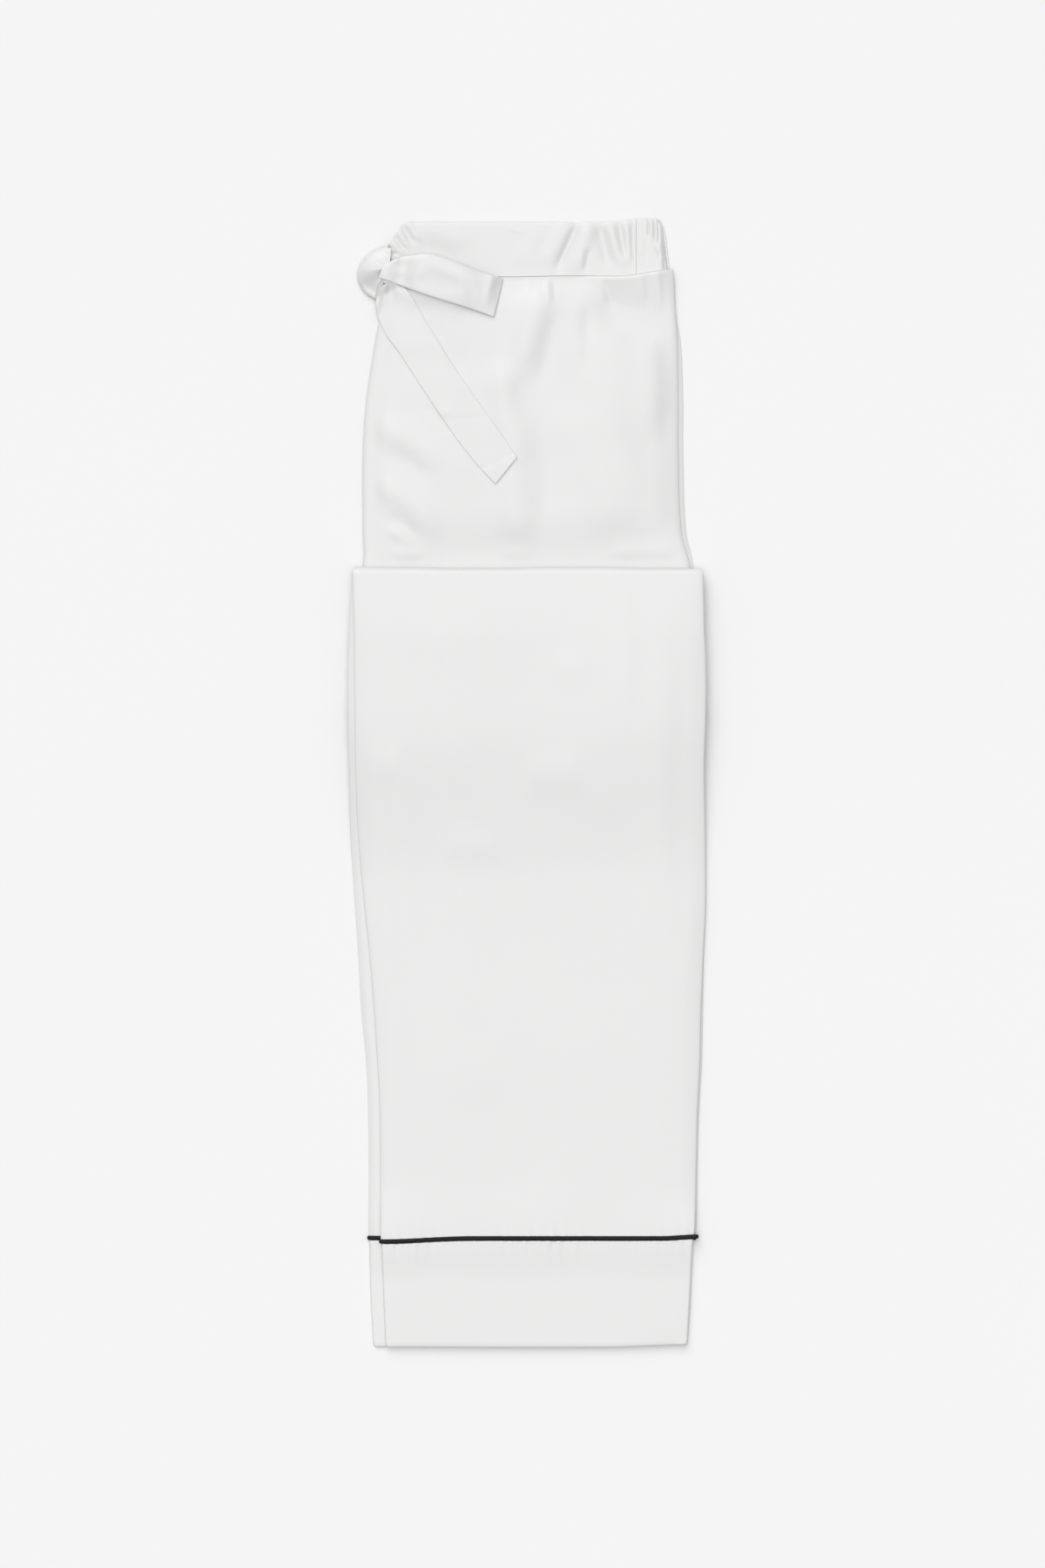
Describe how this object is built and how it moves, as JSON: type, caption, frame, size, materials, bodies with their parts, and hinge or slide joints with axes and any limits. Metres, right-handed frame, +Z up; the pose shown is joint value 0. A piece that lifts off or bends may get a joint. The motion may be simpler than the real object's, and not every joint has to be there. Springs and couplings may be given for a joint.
{
  "type": "pyjama pants",
  "caption": "Wide satin pyjama pants with a bow-tied sash, gathered back waist and piped cuffs, folded lengthwise with the legs turned over, lying flat.",
  "frame": {"origin": "middle of the folded garment's outline, on the surface it lies on", "axes": "+X towards the side seams, +Y towards the waist along the legs, +Z up from the surface"},
  "size_m": [0.268, 0.8415, 0.0137],
  "materials": {
    "satin": "white satin weave, soft sheen",
    "piping": "black satin over a cord"
  },
  "bodies": {
    "root": {"front_left": "satin", "front_right": "satin", "backs_folded": "satin", "waistband_front_left": "satin", "waistband_front_right": "satin", "waistband_back": "satin", "tie_tail": "satin", "tie_loop_front": "satin", "tie_loop_side": "satin", "tie_knot": "satin", "cuff_left": "satin", "cuff_right": "satin", "piping_left": "piping", "piping_right": "piping"}
  },
  "joints": []
}
